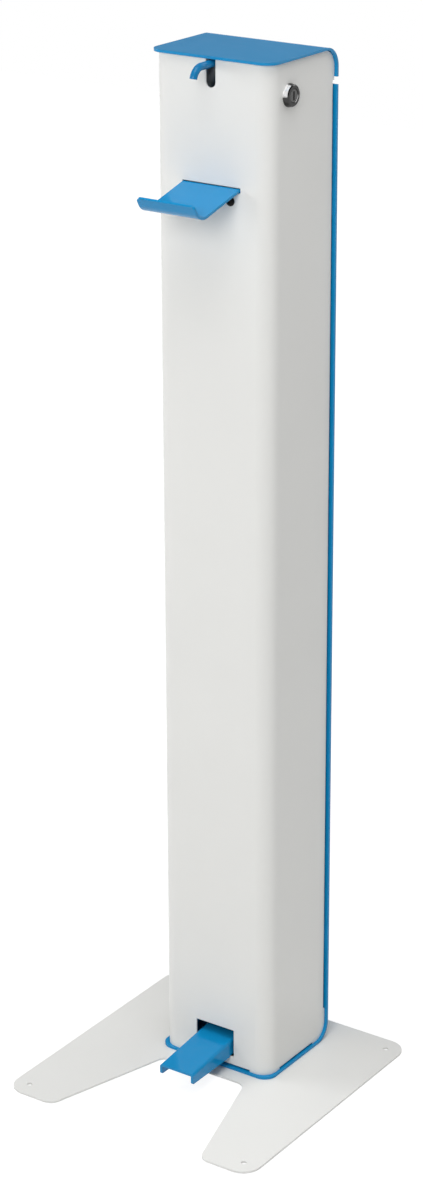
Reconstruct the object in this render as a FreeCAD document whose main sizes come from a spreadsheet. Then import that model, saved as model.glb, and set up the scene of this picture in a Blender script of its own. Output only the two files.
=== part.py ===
import FreeCAD, Part
import Sketcher
import math
import os

# Floor stand that holds a bottle of hand sanitizer and pumps it with a foot pedal.
# Millimetres. X is to the stand's left and right, the front faces -Y, +Z is up.
# The origin is on the floor, under the middle of the floor plate.

SIZES = [
    ("overall_height", 1049.0),
    # floor plate with its two front legs
    ("base_width", 300.0),
    ("base_depth", 300.0),
    ("base_sheet", 2.0),
    ("base_corner", 20.0),
    ("leg_length", 140.0),
    ("leg_gap_tip", 183.0),
    ("leg_gap_root", 100.0),
    ("leg_tip_corner", 13.0),
    ("leg_root_corner", 12.0),
    ("anchor_inset", 17.5),
    ("anchor_hole", 5.5),
    # bent frame: foot, back plate, and the lid that follows the same outline
    ("column_setback", 160.0),
    ("column_depth", 110.0),
    ("frame_sheet", 2.5),
    ("frame_ledge", 3.0),
    ("frame_corner", 14.0),
    ("frame_bend", 20.0),
    ("hinge_gap_below_top", 29.4),
    ("hinge_gap_tall", 7.4),
    # folded cover
    ("cover_width", 131.0),
    ("cover_sheet", 1.5),
    ("cover_corner", 16.0),
    ("cover_seat_gap", 0.3),
    ("lid_seat_gap", 0.4),
    ("relief_low", 2.0),
    ("relief_rear", 2.6),
    ("relief_front_half", 43.0),
    ("relief_side_start", 22.0),
    ("relief_side_end", 85.0),
    ("relief_rear_above_foot", 32.1),
    ("relief_rear_below_top", 32.6),
    ("slot_width", 10.7),
    ("slot_below_top", 29.3),
    ("pedal_opening_width", 46.5),
    ("pedal_opening_above_foot", 11.1),
    ("pedal_opening_tall", 30.9),
    # brackets that hold the cover to the back plate
    ("bracket_sheet", 2.0),
    ("bracket_bend", 1.0),
    ("corner_bracket_leg", 20.0),
    ("corner_bracket_tall", 30.0),
    ("corner_bracket_low", 120.0),
    ("corner_bracket_below_top", 150.0),
    # hinge of the lid
    ("hinge_width", 90.0),
    ("hinge_leaf_sheet", 1.2),
    ("hinge_leaf_drop", 20.0),
    ("hinge_leaf_rise", 8.4),
    ("hinge_axis_out", 2.0),
    ("hinge_knuckle", 6.4),
    ("hinge_pin", 3.4),
    ("running_gap", 0.05),
    ("knuckle_end_gap", 0.4),
    # lock
    ("lock_from_front", 31.0),
    ("lock_below_top", 34.0),
    ("lock_head", 22.0),
    ("lock_head_out", 5.4),
    ("lock_flange", 1.2),
    ("lock_face", 18.5),
    ("lock_face_edge", 0.9),
    ("lock_thread", 18.0),
    ("lock_inward", 23.0),
    ("lock_plug", 13.0),
    ("lock_plug_recess", 0.3),
    ("lock_plug_edge", 0.5),
    ("lock_nut_flats", 24.0),
    ("lock_nut_tall", 4.0),
    ("keyway_wide", 2.0),
    ("keyway_tall", 8.4),
    ("keyway_deep", 8.0),
    ("cam_sheet", 2.0),
    ("cam_wide", 10.0),
    ("cam_reach", 24.0),
    ("cam_tip_corner", 3.0),
    ("cam_stud", 6.0),
    ("cam_nut_flats", 10.0),
    ("cam_nut_tall", 3.5),
    ("keeper_from_lock", 18.5),
    ("keeper_wide", 16.0),
    ("keeper_foot", 20.0),
    ("keeper_window_wide", 7.0),
    ("keeper_window_up", 20.0),
    ("keeper_bar", 6.5),
    ("keeper_play", 0.5),
    # drip tray
    ("tray_width", 64.0),
    ("tray_sheet", 2.5),
    ("tray_below_top", 119.8),
    ("tray_flange", 24.0),
    ("tray_slope", 14.5),
    ("tray_reach", 64.5),
    ("tray_lip_angle", 60.0),
    ("tray_lip", 20.0),
    ("tray_trough_bend", 16.0),
    ("tray_wall_bend", 3.5),
    ("tray_lip_corner", 4.0),
    ("tray_screw_spread", 43.0),
    ("tray_screw_drop", 12.4),
    ("tray_flange_corner", 4.0),
    ("tray_slot_side", 0.6),
    ("tray_slot_above", 1.0),
    ("tray_slot_below", 1.8),
    # threaded fasteners of one thread size
    ("thread", 5.0),
    ("thread_gap", 0.05),
    ("clear_hole", 5.4),
    ("button_head", 9.2),
    ("button_head_tall", 2.6),
    ("button_socket", 3.2),
    ("button_length", 8.0),
    ("sunk_head", 9.0),
    ("sunk_length", 12.0),
    ("nut_flats", 8.0),
    ("nut_tall", 4.0),
    ("front_screw_spacing", 24.0),
    ("front_screw_back", 28.0),
    ("rear_screw_spacing", 92.0),
    ("rear_screw_back", 75.0),
    # bottle, its shelf and its pump
    ("pump_from_front", 46.0),
    ("shelf_below_top", 275.0),
    ("shelf_width", 92.0),
    ("shelf_front_gap", 4.0),
    ("shelf_flange", 30.0),
    ("shelf_lip", 12.0),
    ("shelf_screw_spread", 50.0),
    ("shelf_screw_drop", 18.0),
    ("shelf_bend", 3.5),
    ("bottle_width", 86.0),
    ("bottle_depth", 72.0),
    ("bottle_body", 200.0),
    ("bottle_corner", 16.0),
    ("bottle_shoulder", 14.0),
    ("bottle_base_edge", 4.0),
    ("bottle_neck", 27.0),
    ("bottle_neck_tall", 20.0),
    ("bottle_bore_deep", 72.0),
    ("barrel", 17.6),
    ("barrel_bore_gap", 0.4),
    ("barrel_long", 68.0),
    ("barrel_floor", 3.0),
    ("barrel_flange", 26.0),
    ("barrel_flange_tall", 2.0),
    ("collar", 36.0),
    ("collar_skirt", 16.0),
    ("collar_roof", 4.0),
    ("collar_hole", 10.0),
    ("collar_edge", 1.5),
    ("stem", 8.0),
    ("stem_long", 70.0),
    ("skirt", 32.0),
    ("skirt_tall", 10.0),
    ("boss", 19.0),
    ("boss_tall", 17.0),
    ("boss_edge", 2.0),
    ("stem_in_boss", 10.5),
    ("nozzle", 7.2),
    ("nozzle_bore", 5.0),
    ("nozzle_below_lid", 5.0),
    ("nozzle_out", 15.0),
    ("nozzle_bend", 13.0),
    ("nozzle_turn", 75.0),
    ("nozzle_in_boss", 5.5),
    # rocker above the bottle
    ("rocker_axis_below_top", 23.0),
    ("rocker_arm", 24.5),
    ("rocker_sheet", 2.0),
    ("rocker_outer", 27.0),
    ("rocker_nose", 4.0),
    ("rocker_relief", 25.0),
    ("rocker_relief_end", 12.5),
    ("rocker_arm_rise", 6.0),
    ("rocker_web_start", 14.0),
    ("rocker_web_end", 34.0),
    ("rocker_web_up", 2.0),
    ("rocker_hub", 7.5),
    ("rocker_hub_foot", 15.0),
    ("axle", 6.0),
    ("pin_bevel", 0.5),
    ("rocker_side_gap", 1.0),
    ("rocker_foot_below", 82.0),
    ("rocker_foot_tall", 43.0),
    ("rocker_bracket_screws", 18.0),
    ("rocker_ear_in", 6.0),
    ("rocker_ear_rise", 8.0),
    ("rocker_ear_behind_bottle", 3.0),
    ("rocker_ear_above_bottle", 5.0),
    ("rocker_axle_out", 3.5),
    ("clip_outer", 11.0),
    ("clip_thick", 1.0),
    ("clip_mouth", 4.0),
    # rod between pedal and rocker
    ("rod", 8.0),
    ("rod_cap", 12.0),
    ("rod_cap_tall", 6.0),
    ("rod_cap_floor", 1.0),
    ("touch_gap", 0.3),
    ("guide_low", 250.0),
    ("guide_below_top", 450.0),
    ("guide_wide", 28.0),
    ("guide_reach", 24.0),
    ("guide_tall", 25.0),
    ("guide_corner", 5.0),
    ("bush_outer", 12.0),
    ("bush_flange", 16.0),
    ("bush_flange_tall", 1.5),
    ("bush_long", 8.0),
    # pedal
    ("pedal_width", 41.0),
    ("pedal_sheet", 2.5),
    ("pedal_out", 69.5),
    ("pedal_tip_above_foot", 22.7),
    ("pedal_slope", 6.1),
    ("pedal_stroke", 9.0),
    ("pedal_arm_above_foot", 13.0),
    ("pedal_tread_flange_above_foot", 11.4),
    ("pedal_tread_flange_gap", 3.0),
    ("pedal_inner_end", 98.0),
    ("pedal_bend", 3.0),
    ("pedal_tip_corner", 2.0),
    ("pedal_axis_from_front", 9.5),
    ("pedal_axis_above_foot", 19.0),
    ("pedal_bush", 8.0),
    ("pedal_bush_flange", 12.0),
    ("pedal_bush_flange_thick", 1.0),
    ("pedal_side_gap", 0.3),
    ("pedal_bracket_sheet", 2.5),
    ("pedal_bracket_front", 3.0),
    ("pedal_bracket_back", 36.0),
    ("pedal_bracket_ear", 6.5),
    ("pedal_bracket_shoulder", 7.5),
    ("pedal_axle_out", 3.5),
    ("buffer", 12.0),
    ("buffer_edge", 1.0),
    ("buffer_from_front", 82.0),
]

doc = FreeCAD.newDocument("sanitizer_stand")
sheet = doc.addObject("Spreadsheet::Sheet", "Sizes")
for row, (alias, number) in enumerate(SIZES, start=1):
    sheet.set("A%d" % row, alias)
    sheet.set("B%d" % row, str(number))
    sheet.setAlias("B%d" % row, alias)
doc.recompute()


class Size:
    """A length or angle that carries both its number and the sheet expression it comes from."""

    def __init__(self, value, text):
        self.value = float(value)
        self.text = text

    def __add__(self, other):
        other = size(other)
        return Size(self.value + other.value, "(%s + %s)" % (self.text, other.text))

    def __radd__(self, other):
        return size(other) + self

    def __sub__(self, other):
        other = size(other)
        return Size(self.value - other.value, "(%s - %s)" % (self.text, other.text))

    def __rsub__(self, other):
        return size(other) - self

    def __mul__(self, other):
        other = size(other)
        return Size(self.value * other.value, "(%s * %s)" % (self.text, other.text))

    def __rmul__(self, other):
        return size(other) * self

    def __truediv__(self, other):
        other = size(other)
        return Size(self.value / other.value, "(%s / %s)" % (self.text, other.text))

    def __neg__(self):
        return size(0) - self


def size(number):
    return number if isinstance(number, Size) else Size(number, "(%r)" % float(number))


def sheet_value(alias):
    return Size(getattr(sheet, alias), "Sizes.%s" % alias)


def sine(angle):
    return Size(math.sin(math.radians(angle.value)), "sin(%s * 1 deg)" % angle.text)


def cosine(angle):
    return Size(math.cos(math.radians(angle.value)), "cos(%s * 1 deg)" % angle.text)


def square_root(number):
    return Size(math.sqrt(number.value), "sqrt(%s)" % number.text)


def tangent(angle):
    return Size(math.tan(math.radians(angle.value)), "tan(%s * 1 deg)" % angle.text)


S = {alias: sheet_value(alias) for alias, number in SIZES}

# Levels and faces that several pieces share.
FRONT = S["column_setback"] - S["base_depth"] / 2
BACK = FRONT + S["column_depth"]
BACK_INNER = BACK - S["frame_sheet"]
INNER_FRONT = FRONT + S["cover_sheet"]
SIDE = S["cover_width"] / 2
INNER_SIDE = SIDE - S["cover_sheet"]
LEDGE_SIDE = SIDE + S["frame_ledge"]
LEDGE_FRONT = FRONT - S["frame_ledge"]
FOOT_LOW = S["base_sheet"]
FOOT_TOP = FOOT_LOW + S["frame_sheet"]
LID_TOP = S["overall_height"]
LID_UNDER = LID_TOP - S["frame_sheet"]
BEND_INNER = S["frame_bend"] - S["frame_sheet"]
COVER_TOP = LID_UNDER - S["lid_seat_gap"]
COVER_REAR = BACK_INNER - S["cover_seat_gap"]
TAP_RADIUS = S["thread"] / 2 + S["thread_gap"]
CLEAR_RADIUS = S["clear_hole"] / 2
AXLE_RADIUS = S["axle"] / 2
HINGE_Y = BACK_INNER + S["hinge_axis_out"]
HINGE_GAP_HIGH = LID_TOP - S["hinge_gap_below_top"]
HINGE_GAP_LOW = HINGE_GAP_HIGH - S["hinge_gap_tall"]
HINGE_Z = (HINGE_GAP_LOW + HINGE_GAP_HIGH) / 2
LOCK_Y = FRONT + S["lock_from_front"]
LOCK_Z = LID_TOP - S["lock_below_top"]
PUMP_Y = FRONT + S["pump_from_front"]
ROD_Y = PUMP_Y + 2 * S["rocker_arm"]
ROCKER_Y = PUMP_Y + S["rocker_arm"]
ROCKER_Z = LID_TOP - S["rocker_axis_below_top"]
ROCKER_FOOT_LOW = ROCKER_Z - S["rocker_foot_below"]
ROCKER_FOOT_HIGH = ROCKER_FOOT_LOW + S["rocker_foot_tall"]
PEDAL_Y = FRONT + S["pedal_axis_from_front"]
PEDAL_Z = FOOT_TOP + S["pedal_axis_above_foot"]
NOZZLE_Z = LID_UNDER - S["nozzle_below_lid"]
SHELF_TOP = LID_TOP - S["shelf_below_top"]
SHELF_SCREW_Z = SHELF_TOP - S["shelf_screw_drop"]
TRAY_TOP = LID_TOP - S["tray_below_top"]
TRAY_SCREW_Z = TRAY_TOP - S["tray_screw_drop"]
TRAY_DROP = S["tray_sheet"] / cosine(S["tray_slope"])
TRAY_WALL_LOW = TRAY_TOP - TRAY_DROP + S["cover_sheet"] * tangent(S["tray_slope"])
BRACKET_LEVELS = (S["corner_bracket_low"], LID_TOP - S["corner_bracket_below_top"])
GUIDE_LEVELS = (S["guide_low"], LID_TOP - S["guide_below_top"])

# How far a cut reaches past the faces it opens.
PAST = 1.0


def pedal_top_at(y):
    """Height of the pedal's tread over the place y."""
    tip = FRONT - S["pedal_out"]
    return FOOT_TOP + S["pedal_tip_above_foot"] + (y - tip) * tangent(S["pedal_slope"])


def rod_foot_height(slope):
    """Centre of the rod's lower dome when the pedal's tread lies at this slope."""
    axis_to_tread = (pedal_top_at(PEDAL_Y) - PEDAL_Z) * cosine(S["pedal_slope"])
    dome_reach = S["rod_cap"] / 2 + S["touch_gap"]
    return PEDAL_Z + (ROD_Y - PEDAL_Y) * tangent(slope) + (axis_to_tread + dome_reach) / cosine(slope)


# The rod's whole lift swings the rocker evenly about the level, and that sets its tilt at rest.
ROD_FOOT = rod_foot_height(S["pedal_slope"])
HALF_LIFT = (rod_foot_height(S["pedal_slope"] + S["pedal_stroke"]) - ROD_FOOT) / 2
ROCKER_DIAGONAL = square_root(HALF_LIFT * HALF_LIFT + S["rocker_arm"] * S["rocker_arm"])
TILT_SINE = HALF_LIFT / ROCKER_DIAGONAL
TILT_COSINE = S["rocker_arm"] / ROCKER_DIAGONAL
ROCKER_TILT = math.degrees(math.atan2(HALF_LIFT.value, S["rocker_arm"].value))

PLANES = {"X": "YZ_Plane", "Y": "XZ_Plane", "Z": "XY_Plane"}
nodes = []


def new_body(label, keep=True):
    body = doc.addObject("PartDesign::Body", label)
    body.Label = label
    if keep:
        nodes.append(body)
    return body


def origin_plane(body, role):
    return [feature for feature in body.Origin.OriginFeatures if feature.Role == role][0]


def pin_point(sketch, shape_index, point_index, x, y):
    """Holds one sketch point at x, y from the sketch origin."""
    for kind, distance in (("DistanceX", x), ("DistanceY", y)):
        constraint = Sketcher.Constraint(kind, -1, 1, shape_index, point_index, distance.value)
        index = sketch.addConstraint(constraint)
        sketch.setExpression("Constraints[%d]" % index, distance.text)


def draw_outline(sketch, points):
    """Closed outline of straight lines through the points."""
    points = [(size(x), size(y)) for x, y in points]
    first = sketch.GeometryCount
    count = len(points)
    for index, (x, y) in enumerate(points):
        next_x, next_y = points[(index + 1) % count]
        start = FreeCAD.Vector(x.value, y.value, 0)
        end = FreeCAD.Vector(next_x.value, next_y.value, 0)
        sketch.addGeometry(Part.LineSegment(start, end), False)
    for index, (x, y) in enumerate(points):
        following = first + (index + 1) % count
        sketch.addConstraint(Sketcher.Constraint("Coincident", first + index, 2, following, 1))
        pin_point(sketch, first + index, 1, x, y)


def draw_circle(sketch, x, y, radius):
    centre = FreeCAD.Vector(size(x).value, size(y).value, 0)
    normal = FreeCAD.Vector(0, 0, 1)
    index = sketch.addGeometry(Part.Circle(centre, normal, radius.value), False)
    pin_point(sketch, index, 3, size(x), size(y))
    constraint = sketch.addConstraint(Sketcher.Constraint("Radius", index, radius.value))
    sketch.setExpression("Constraints[%d]" % constraint, radius.text)


def new_sketch(body, axis, level, outlines=(), circles=()):
    """Sketch across one axis of the body, at a level along that axis."""
    sketch = body.newObject("Sketcher::SketchObject", "Sketch")
    sketch.AttachmentSupport = [(origin_plane(body, PLANES[axis]), "")]
    sketch.MapMode = "FlatFace"
    offset = -level if axis == "Y" else level
    sketch.AttachmentOffset = FreeCAD.Placement(FreeCAD.Vector(0, 0, offset.value), FreeCAD.Rotation())
    sketch.setExpression("AttachmentOffset.Base.z", offset.text)
    for points in outlines:
        draw_outline(sketch, points)
    for x, y, radius in circles:
        draw_circle(sketch, x, y, radius)
    return sketch


def extrude(body, axis, low, high, outlines=(), circles=()):
    """Adds the outlines between two levels along an axis."""
    low, high = size(low), size(high)
    sketch = new_sketch(body, axis, high if axis == "Y" else low, outlines, circles)
    pad = body.newObject("PartDesign::Pad", "Pad")
    pad.Profile = sketch
    pad.Length = (high - low).value
    pad.setExpression("Length", (high - low).text)
    doc.recompute()
    return pad


def cut(body, axis, low, high, outlines=(), circles=()):
    """Removes the outlines between two levels along an axis."""
    low, high = size(low), size(high)
    before = body.Shape.Volume
    sketch = new_sketch(body, axis, low if axis == "Y" else high, outlines, circles)
    pocket = body.newObject("PartDesign::Pocket", "Pocket")
    pocket.Profile = sketch
    pocket.Length = (high - low).value
    pocket.setExpression("Length", (high - low).text)
    doc.recompute()
    if body.Shape.Volume > before - 0.1:
        raise RuntimeError("a cut in %s removed nothing" % body.Label)
    return pocket


def turn(body, points):
    """Solid of revolution about the body's own Z axis, from radius and height pairs."""
    sketch = new_sketch(body, "Y", size(0), [points])
    revolution = body.newObject("PartDesign::Revolution", "Revolution")
    revolution.Profile = sketch
    revolution.ReferenceAxis = (sketch, ["V_Axis"])
    revolution.Angle = 360
    doc.recompute()
    return revolution


def edges_near(shape, places):
    """Names of the edges whose middles lie nearest to the places."""
    names = []
    for place in places:
        target = FreeCAD.Vector(*[size(part).value for part in place])
        gaps = []
        for index, edge in enumerate(shape.Edges, start=1):
            middle = edge.valueAt((edge.FirstParameter + edge.LastParameter) / 2)
            if edge.Closed and hasattr(edge.Curve, "Center"):
                middle = edge.Curve.Center
            gaps.append((middle.distanceToPoint(target), index))
        gap, index = min(gaps)
        if gap > 1.0:
            raise RuntimeError("no edge near %s, nearest is %.2f away" % (target, gap))
        names.append("Edge%d" % index)
    return names


def dress(body, kind, amount, places):
    """Rounds or bevels the edges whose middles are at the places."""
    base = body.Tip
    names = edges_near(base.Shape, places)
    feature = body.newObject("PartDesign::" + kind, kind)
    feature.Base = (base, names)
    prop = "Radius" if kind == "Fillet" else "Size"
    setattr(feature, prop, size(amount).value)
    feature.setExpression(prop, size(amount).text)
    doc.recompute()
    return feature


def bend(body, radius, places):
    return dress(body, "Fillet", radius, places)


def bevel(body, amount, places):
    return dress(body, "Chamfer", amount, places)


def place(body, x, y, z, axis=(0, 0, 1), angle=0):
    position = [size(part) for part in (x, y, z)]
    base = FreeCAD.Vector(*[part.value for part in position])
    body.Placement = FreeCAD.Placement(base, FreeCAD.Rotation(FreeCAD.Vector(*axis), angle))
    for name, part in zip("xyz", position):
        body.setExpression("Placement.Base.%s" % name, part.text)


def spread(label, template, spots):
    """One node holding a separate solid at each spot: position, turning axis and angle."""
    shapes = []
    for (x, y, z), axis, angle in spots:
        copy = template.Shape.copy()
        base = FreeCAD.Vector(*[size(part).value for part in (x, y, z)])
        copy.Placement = FreeCAD.Placement(base, FreeCAD.Rotation(FreeCAD.Vector(*axis), angle))
        shapes.append(copy)
    group = doc.addObject("Part::Feature", label)
    group.Label = label
    group.Shape = Part.makeCompound(shapes)
    group.Placement = FreeCAD.Placement()
    nodes.append(group)
    return group


def rectangle(x_low, x_high, y_low, y_high):
    return [(x_low, y_low), (x_high, y_low), (x_high, y_high), (x_low, y_high)]


def hexagon(flats):
    """Six corners about the origin, for a nut measured across its flats."""
    half = flats / 2
    tip = flats / math.sqrt(3)
    return [(tip, 0), (tip / 2, half), (-tip / 2, half), (-tip, 0), (-tip / 2, -half), (tip / 2, -half)]


def build_base_plate():
    body = new_body("base_plate")
    half_wide = S["base_width"] / 2
    half_deep = S["base_depth"] / 2
    tip = S["leg_gap_tip"] / 2
    root = S["leg_gap_root"] / 2
    root_y = S["leg_length"] - half_deep
    middle = S["base_sheet"] / 2
    outline = [
        (-half_wide, -half_deep),
        (-tip, -half_deep),
        (-root, root_y),
        (root, root_y),
        (tip, -half_deep),
        (half_wide, -half_deep),
        (half_wide, half_deep),
        (-half_wide, half_deep),
    ]
    extrude(body, "Z", 0, S["base_sheet"], [outline])
    corners = [(x, y, middle) for x in (-half_wide, half_wide) for y in (-half_deep, half_deep)]
    bend(body, S["base_corner"], corners)
    bend(body, S["leg_tip_corner"], [(-tip, -half_deep, middle), (tip, -half_deep, middle)])
    bend(body, S["leg_root_corner"], [(-root, root_y, middle), (root, root_y, middle)])
    hole_x = half_wide - S["anchor_inset"]
    hole_y = half_deep - S["anchor_inset"]
    radius = S["anchor_hole"] / 2
    anchors = [(x, y, radius) for x in (-hole_x, hole_x) for y in (-hole_y, hole_y)]
    cut(body, "Z", -PAST, S["base_sheet"] + PAST, circles=anchors)
    screws = [(x, y, CLEAR_RADIUS) for x, y in frame_screw_spots()]
    cut(body, "Z", -PAST, S["base_sheet"] + PAST, circles=screws)
    bevel(body, S["sunk_head"] / 2 - CLEAR_RADIUS, [(x, y, 0) for x, y in frame_screw_spots()])
    return body


def frame_screw_spots():
    """Screws that join the floor plate to the frame's foot."""
    front_x = S["front_screw_spacing"] / 2
    rear_x = S["rear_screw_spacing"] / 2
    front_y = FRONT + S["front_screw_back"]
    rear_y = FRONT + S["rear_screw_back"]
    return [(-front_x, front_y), (front_x, front_y), (-rear_x, rear_y), (rear_x, rear_y)]


def back_screw_spots():
    """Screws that come through the back plate from behind: x and z."""
    bracket_x = INNER_SIDE - S["corner_bracket_leg"] / 2
    shelf_x = S["shelf_screw_spread"] / 2
    rocker_x = S["rocker_bracket_screws"] / 2
    rocker_z = (ROCKER_FOOT_LOW + ROCKER_FOOT_HIGH) / 2
    spots = []
    for sign in (-1, 1):
        for level in BRACKET_LEVELS:
            spots.append((sign * bracket_x, level))
        spots.append((sign * shelf_x, SHELF_SCREW_Z))
        spots.append((sign * rocker_x, rocker_z))
    return spots


def tray_screw_spots():
    """Screws that hold the drip tray behind the cover's front: x and z."""
    return [(sign * S["tray_screw_spread"] / 2, TRAY_SCREW_Z) for sign in (-1, 1)]


def build_back_frame():
    body = new_body("back_frame")
    outline = [
        (LEDGE_FRONT, FOOT_LOW),
        (BACK, FOOT_LOW),
        (BACK, HINGE_GAP_LOW),
        (BACK_INNER, HINGE_GAP_LOW),
        (BACK_INNER, FOOT_TOP),
        (LEDGE_FRONT, FOOT_TOP),
    ]
    extrude(body, "X", -LEDGE_SIDE, LEDGE_SIDE, [outline])
    bend(body, S["frame_bend"], [(0, BACK, FOOT_LOW)])
    bend(body, BEND_INNER, [(0, BACK_INNER, FOOT_TOP)])
    middle = (FOOT_LOW + FOOT_TOP) / 2
    bend(body, S["frame_corner"], [(-LEDGE_SIDE, LEDGE_FRONT, middle), (LEDGE_SIDE, LEDGE_FRONT, middle)])
    foot_holes = [(x, y, CLEAR_RADIUS) for x, y in frame_screw_spots()]
    cut(body, "Z", FOOT_LOW - PAST, FOOT_TOP + PAST, circles=foot_holes)
    back_holes = [(x, z, CLEAR_RADIUS) for x, z in back_screw_spots()]
    cut(body, "Y", BACK_INNER - PAST, BACK + PAST, circles=back_holes)
    return body


def build_cover():
    body = new_body("cover")
    sheet_gauge = S["cover_sheet"]
    middle = (FOOT_TOP + COVER_TOP) / 2
    extrude(body, "Z", FOOT_TOP, COVER_TOP, [rectangle(-SIDE, SIDE, FRONT, COVER_REAR)])
    inside = rectangle(-INNER_SIDE, INNER_SIDE, INNER_FRONT, COVER_REAR + PAST)
    cut(body, "Z", FOOT_TOP - PAST, COVER_TOP + PAST, [inside])
    inner_corners = [(-INNER_SIDE, INNER_FRONT, middle), (INNER_SIDE, INNER_FRONT, middle)]
    bend(body, S["cover_corner"] - sheet_gauge, inner_corners)
    bend(body, S["cover_corner"], [(-SIDE, FRONT, middle), (SIDE, FRONT, middle)])
    side_middle = SIDE - sheet_gauge / 2
    rear_low = [(-side_middle, COVER_REAR, FOOT_TOP), (side_middle, COVER_REAR, FOOT_TOP)]
    rear_high = [(-side_middle, COVER_REAR, COVER_TOP), (side_middle, COVER_REAR, COVER_TOP)]
    bend(body, BEND_INNER - S["cover_seat_gap"], rear_low)
    bend(body, BEND_INNER - S["lid_seat_gap"], rear_high)
    half = S["relief_front_half"]
    relief_top = FOOT_TOP + S["relief_low"]
    cut(body, "Y", FRONT - PAST, INNER_FRONT + PAST, [rectangle(-half, half, FOOT_TOP - PAST, relief_top)])
    start = FRONT + S["relief_side_start"]
    end = FRONT + S["relief_side_end"]
    cut(body, "X", -SIDE - PAST, SIDE + PAST, [rectangle(start, end, FOOT_TOP - PAST, relief_top)])
    rear = COVER_REAR - S["relief_rear"]
    rear_low = FOOT_TOP + S["relief_rear_above_foot"]
    rear_high = LID_TOP - S["relief_rear_below_top"]
    rear_relief = rectangle(rear, COVER_REAR + PAST, rear_low, rear_high)
    cut(body, "X", -SIDE - PAST, SIDE + PAST, [rear_relief])
    slot = S["slot_width"] / 2
    slot_centre = LID_TOP - S["slot_below_top"] + slot
    cut(body, "Y", FRONT - PAST, INNER_FRONT + PAST, [rectangle(-slot, slot, slot_centre, COVER_TOP + PAST)])
    cut(body, "Y", FRONT - PAST, INNER_FRONT + PAST, circles=[(0, slot_centre, slot)])
    opening = S["pedal_opening_width"] / 2
    opening_low = FOOT_TOP + S["pedal_opening_above_foot"]
    opening_high = opening_low + S["pedal_opening_tall"]
    cut(body, "Y", FRONT - PAST, INNER_FRONT + PAST, [rectangle(-opening, opening, opening_low, opening_high)])
    tray_holes = [(x, z, CLEAR_RADIUS) for x, z in tray_screw_spots()]
    cut(body, "Y", FRONT - PAST, INNER_FRONT + PAST, circles=tray_holes)
    tray_slot = S["tray_width"] / 2 + S["tray_slot_side"]
    tray_slot_low = TRAY_WALL_LOW - S["tray_slot_below"]
    tray_slot_high = TRAY_TOP + S["tray_slot_above"]
    cut(body, "Y", FRONT - PAST, INNER_FRONT + PAST, [rectangle(-tray_slot, tray_slot, tray_slot_low, tray_slot_high)])
    lock_hole = S["lock_thread"] / 2 + S["running_gap"]
    cut(body, "X", INNER_SIDE - PAST, SIDE + PAST, circles=[(LOCK_Y, LOCK_Z, lock_hole)])
    return body


def build_corner_brackets():
    body = new_body("corner_bracket_pattern", keep=False)
    leg = S["corner_bracket_leg"]
    gauge = S["bracket_sheet"]
    half = S["corner_bracket_tall"] / 2
    outline = [(0, 0), (-leg, 0), (-leg, -gauge), (-gauge, -gauge), (-gauge, -leg), (0, -leg)]
    extrude(body, "Z", -half, half, [outline])
    bend(body, S["bracket_bend"] + gauge, [(0, 0, 0)])
    bend(body, S["bracket_bend"], [(-gauge, -gauge, 0)])
    cut(body, "Y", -gauge - PAST, 1, circles=[(-leg / 2, 0, TAP_RADIUS)])
    spots = []
    for level in BRACKET_LEVELS:
        spots.append(((INNER_SIDE, BACK_INNER, level), (0, 0, 1), 0))
        spots.append(((-INNER_SIDE, BACK_INNER, level), (0, 1, 0), 180))
    return spread("corner_brackets", body, spots)


def build_lid():
    body = new_body("lid")
    outline = [
        (LEDGE_FRONT, LID_TOP),
        (BACK, LID_TOP),
        (BACK, HINGE_GAP_HIGH),
        (BACK_INNER, HINGE_GAP_HIGH),
        (BACK_INNER, LID_UNDER),
        (LEDGE_FRONT, LID_UNDER),
    ]
    extrude(body, "X", -LEDGE_SIDE, LEDGE_SIDE, [outline])
    bend(body, S["frame_bend"], [(0, BACK, LID_TOP)])
    bend(body, BEND_INNER, [(0, BACK_INNER, LID_UNDER)])
    middle = (LID_UNDER + LID_TOP) / 2
    bend(body, S["frame_corner"], [(-LEDGE_SIDE, LEDGE_FRONT, middle), (LEDGE_SIDE, LEDGE_FRONT, middle)])
    return body


def build_hinge_leaf(label, segments, plate_low, plate_high, bore):
    """Leaf plate on the inner face, with rolled knuckles on the given fifths of its width."""
    body = new_body(label)
    half = S["hinge_width"] / 2
    fifth = S["hinge_width"] / 5
    face = BACK_INNER
    back = face - S["hinge_leaf_sheet"]
    extrude(body, "X", -half, half, [rectangle(back, face, plate_low, plate_high)])
    gap = S["knuckle_end_gap"] / 2
    for segment in segments:
        start = segment * fifth - half + gap
        end = (segment + 1) * fifth - half - gap
        low, high = (HINGE_Z, plate_low) if plate_low.value > HINGE_Z.value else (plate_high, HINGE_Z)
        extrude(body, "X", start, end, [rectangle(back, face, low, high)])
        extrude(body, "X", start, end, circles=[(HINGE_Y, HINGE_Z, S["hinge_knuckle"] / 2)])
    cut(body, "X", -half - PAST, half + PAST, circles=[(HINGE_Y, HINGE_Z, bore)])
    return body


def build_hinge():
    pin = S["hinge_pin"] / 2
    frame_leaf_low = HINGE_GAP_LOW - S["hinge_leaf_drop"]
    lid_leaf_high = HINGE_GAP_HIGH + S["hinge_leaf_rise"]
    build_hinge_leaf("hinge_frame_leaf", (0, 2, 4), frame_leaf_low, HINGE_GAP_LOW, pin)
    build_hinge_leaf("hinge_lid_leaf", (1, 3), HINGE_GAP_HIGH, lid_leaf_high, pin + S["running_gap"])
    body = new_body("hinge_pin")
    half = S["hinge_width"] / 2
    extrude(body, "Z", -half, half, circles=[(0, 0, pin)])
    bevel(body, S["pin_bevel"], [(0, 0, -half), (0, 0, half)])
    place(body, 0, HINGE_Y, HINGE_Z, (0, 1, 0), 90)
    return body


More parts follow.
